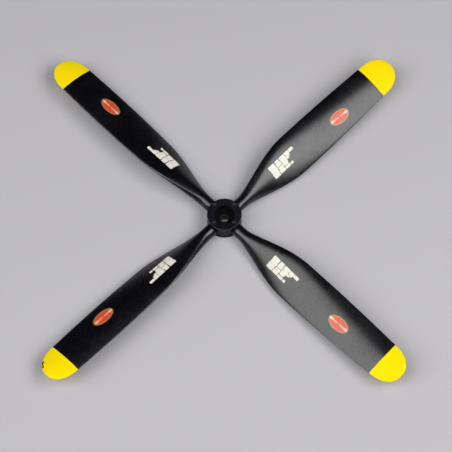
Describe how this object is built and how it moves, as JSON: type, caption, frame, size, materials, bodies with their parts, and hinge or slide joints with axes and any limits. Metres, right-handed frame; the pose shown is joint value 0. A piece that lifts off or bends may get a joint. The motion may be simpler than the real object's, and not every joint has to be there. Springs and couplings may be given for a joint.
{
  "type": "model aircraft propeller",
  "caption": "Model aircraft propeller with separate moulded blades, yellow tips and oval badges, clamped in a split hub with a dark brass shaft bush.",
  "frame": {"origin": "centre of the shaft bore, on the rear face of the hub", "axes": "+Z along the shaft axis towards the front (nose) of the aircraft; blade_1 points 45 degrees from +X towards +Y, and the others follow every 90 degrees"},
  "size_m": [0.259, 0.259, 0.0174],
  "materials": {
    "hub_plastic": "satin black moulded nylon with a soft sheen",
    "blade_plastic": "satin black glass-filled nylon; the outer tenth of each blade is painted yellow",
    "brass": "turned, tarnished dark",
    "black_steel": "black oxide, satin",
    "badge_film": "printed film, semi-gloss: red oval with a pale outline and a cream band",
    "patch_film": "printed film, matt: rows of plain ivory blocks on a clear carrier"
  },
  "bodies": {
    "hub": {"hub_front": "hub_plastic", "hub_rear": "hub_plastic", "shaft_bush": "brass", "lock_screw_1": "black_steel", "lock_screw_2": "black_steel", "lock_screw_3": "black_steel", "lock_screw_4": "black_steel", "clamp_screw_1": "black_steel", "clamp_screw_2": "black_steel", "clamp_screw_3": "black_steel", "clamp_screw_4": "black_steel"},
    "blade_1": {"blade_1": "blade_plastic", "badge_1": "badge_film", "data_patch_1": "patch_film"},
    "blade_2": {"blade_2": "blade_plastic", "badge_2": "badge_film", "data_patch_2": "patch_film"},
    "blade_3": {"blade_3": "blade_plastic", "badge_3": "badge_film", "data_patch_3": "patch_film"},
    "blade_4": {"blade_4": "blade_plastic", "badge_4": "badge_film", "data_patch_4": "patch_film"}
  },
  "joints": [
    {"name": "blade_1_pitch", "type": "hinge", "parent": "hub", "child": "blade_1", "pos_m": [0.00728, 0.00728, 0.0071], "axis": [0.7071, 0.7071, 0], "range_deg": [-6, 8]},
    {"name": "blade_2_pitch", "type": "hinge", "parent": "hub", "child": "blade_2", "pos_m": [-0.00728, 0.00728, 0.0071], "axis": [-0.7071, 0.7071, 0], "range_deg": [-6, 8]},
    {"name": "blade_3_pitch", "type": "hinge", "parent": "hub", "child": "blade_3", "pos_m": [-0.00728, -0.00728, 0.0071], "axis": [-0.7071, -0.7071, 0], "range_deg": [-6, 8]},
    {"name": "blade_4_pitch", "type": "hinge", "parent": "hub", "child": "blade_4", "pos_m": [0.00728, -0.00728, 0.0071], "axis": [0.7071, -0.7071, 0], "range_deg": [-6, 8]}
  ]
}
